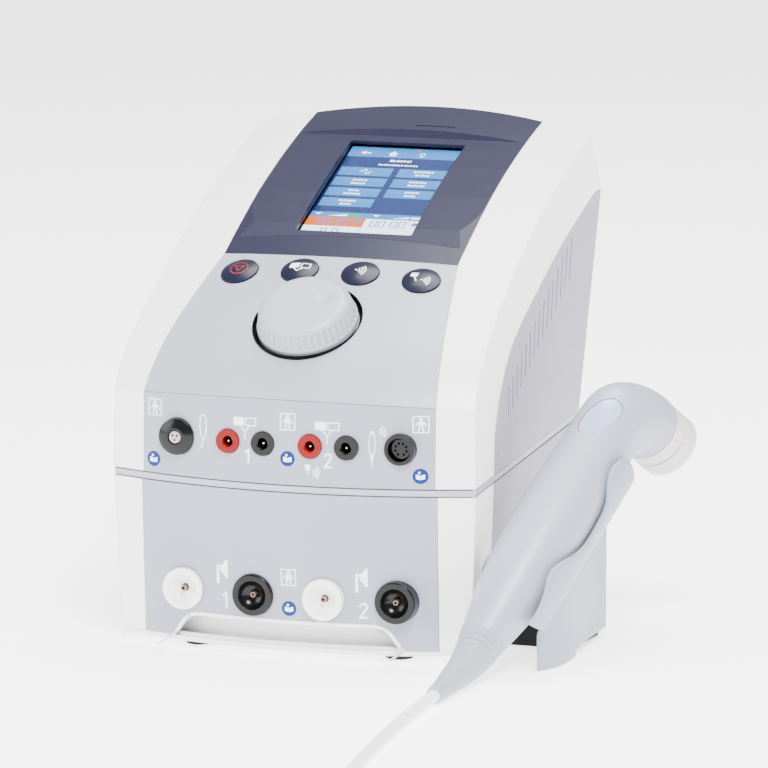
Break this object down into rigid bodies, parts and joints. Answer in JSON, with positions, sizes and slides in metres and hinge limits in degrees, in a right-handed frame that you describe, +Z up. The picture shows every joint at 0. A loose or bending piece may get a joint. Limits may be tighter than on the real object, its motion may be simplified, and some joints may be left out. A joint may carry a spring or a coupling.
{
  "type": "ultrasound therapy device",
  "caption": "Electrotherapy and ultrasound console with sloping control deck and display, standing on a vacuum module, with an applicator lying in a side holder.",
  "frame": {"origin": "on the table, in the middle of the centre foot, midway between the outer four", "axes": "+Z up, -Y towards the user at the control side, +X towards the holder"},
  "size_m": [0.3498, 0.8302, 0.324],
  "materials": {
    "white_plastic": "smooth white moulded housing plastic, faint satin sheen",
    "side_plastic": "fine-grained warm grey moulded plastic",
    "deck_plastic": "light silver-grey painted plastic, satin",
    "module_plastic": "light blue-grey painted plastic, satin",
    "bezel_plastic": "dark slate-blue satin plastic",
    "button_plastic": "dark navy soft-touch plastic with a gentle sheen",
    "knob_plastic": "silver-grey satin lacquered plastic",
    "red_plastic": "red moulded socket plastic",
    "black_plastic": "black moulded plastic",
    "socket_white": "pale grey moulded plastic",
    "holder_plastic": "smooth blue-grey moulded plastic",
    "applicator_plastic": "smooth pale lilac-grey housing plastic",
    "cap_plastic": "off-white polished collar",
    "window_lens": "pale blue translucent light window",
    "boot_rubber": "soft pale grey elastomer",
    "cable_jacket": "white flexible cable jacket",
    "screen_glass": "clear display window",
    "metal": "bright machined metal",
    "aluminium": "turned aluminium treatment face",
    "board": "green circuit board laminate",
    "rubber": "black rubber",
    "gasket": "dark grey seam strip"
  },
  "bodies": {
    "console": {"console_frame": "white_plastic", "rear_shell": "side_plastic", "control_deck": "deck_plastic", "connector_strip": "deck_plastic", "display_bezel": "bezel_plastic", "display_glass": "screen_glass", "display_module": "metal", "encoder_body": "metal", "button_board": "board", "console_base": "black_plastic", "main_board": "board", "power_supply": "board", "sensor_socket": "black_plastic", "stim_socket_1a": "red_plastic", "stim_socket_1b": "black_plastic", "stim_socket_2a": "red_plastic", "stim_socket_2b": "black_plastic", "applicator_socket": "black_plastic", "seam_gasket": "gasket", "module_front_panel": "module_plastic", "module_cheek_left": "white_plastic", "module_cheek_right": "white_plastic", "module_shell": "side_plastic", "module_base": "white_plastic", "grip_recess": "white_plastic", "rubber_feet": "rubber", "case_screws": "metal", "suction_nozzle_1": "socket_white", "suction_nozzle_2": "black_plastic", "suction_nozzle_3": "socket_white", "suction_nozzle_4": "black_plastic", "nozzle_tubes": "metal", "vacuum_manifold": "black_plastic", "suction_hoses": "boot_rubber", "vacuum_pump": "black_plastic", "pump_motor": "metal", "mains_inlet": "black_plastic", "inlet_pins": "metal", "switch_frame": "black_plastic", "holder_cradle": "holder_plastic", "holder_bracket": "black_plastic"},
    "knob": {"knob": "knob_plastic", "encoder_shaft": "metal"},
    "stop_button": {"stop_button": "button_plastic"},
    "pads_button": {"pads_button": "button_plastic"},
    "waves_button": {"waves_button": "button_plastic"},
    "combined_button": {"combined_button": "button_plastic"},
    "power_switch": {"power_switch": "black_plastic"},
    "applicator": {"applicator_body": "applicator_plastic", "applicator_cap": "cap_plastic", "treatment_face": "aluminium", "transducer": "metal", "indicator_window": "window_lens", "strain_relief": "boot_rubber", "applicator_cable": "cable_jacket", "cable_coil": "cable_jacket", "cable_plug": "black_plastic"}
  },
  "joints": [
    {"name": "knob_turn", "type": "hinge", "parent": "console", "child": "knob", "pos_m": [0, -0.1085, 0.21507], "axis": [0, -0.515, 0.8572], "continuous": true},
    {"name": "stop_press", "type": "slide", "parent": "console", "child": "stop_button", "axis": [0.086, 0.4666, -0.8803], "range_m": [0, 0.0012], "stiffness_N_per_m": 300, "springref_m": -0.0005},
    {"name": "pads_press", "type": "slide", "parent": "console", "child": "pads_button", "axis": [0.0282, 0.4577, -0.8887], "range_m": [0, 0.0012], "stiffness_N_per_m": 300, "springref_m": -0.0005},
    {"name": "waves_press", "type": "slide", "parent": "console", "child": "waves_button", "axis": [-0.0282, 0.4577, -0.8887], "range_m": [0, 0.0012], "stiffness_N_per_m": 300, "springref_m": -0.0005},
    {"name": "combined_press", "type": "slide", "parent": "console", "child": "combined_button", "axis": [-0.086, 0.4666, -0.8803], "range_m": [0, 0.0012], "stiffness_N_per_m": 300, "springref_m": -0.0005},
    {"name": "power_rock", "type": "hinge", "parent": "console", "child": "power_switch", "pos_m": [0.026, 0.16613, 0.142], "axis": [-1, 0, 0], "range_deg": [0, 16]},
    {"name": "applicator_lift", "type": "slide", "parent": "console", "child": "applicator", "axis": [0.0714, 0.3046, 0.9498], "range_m": [0, 0.1]}
  ]
}
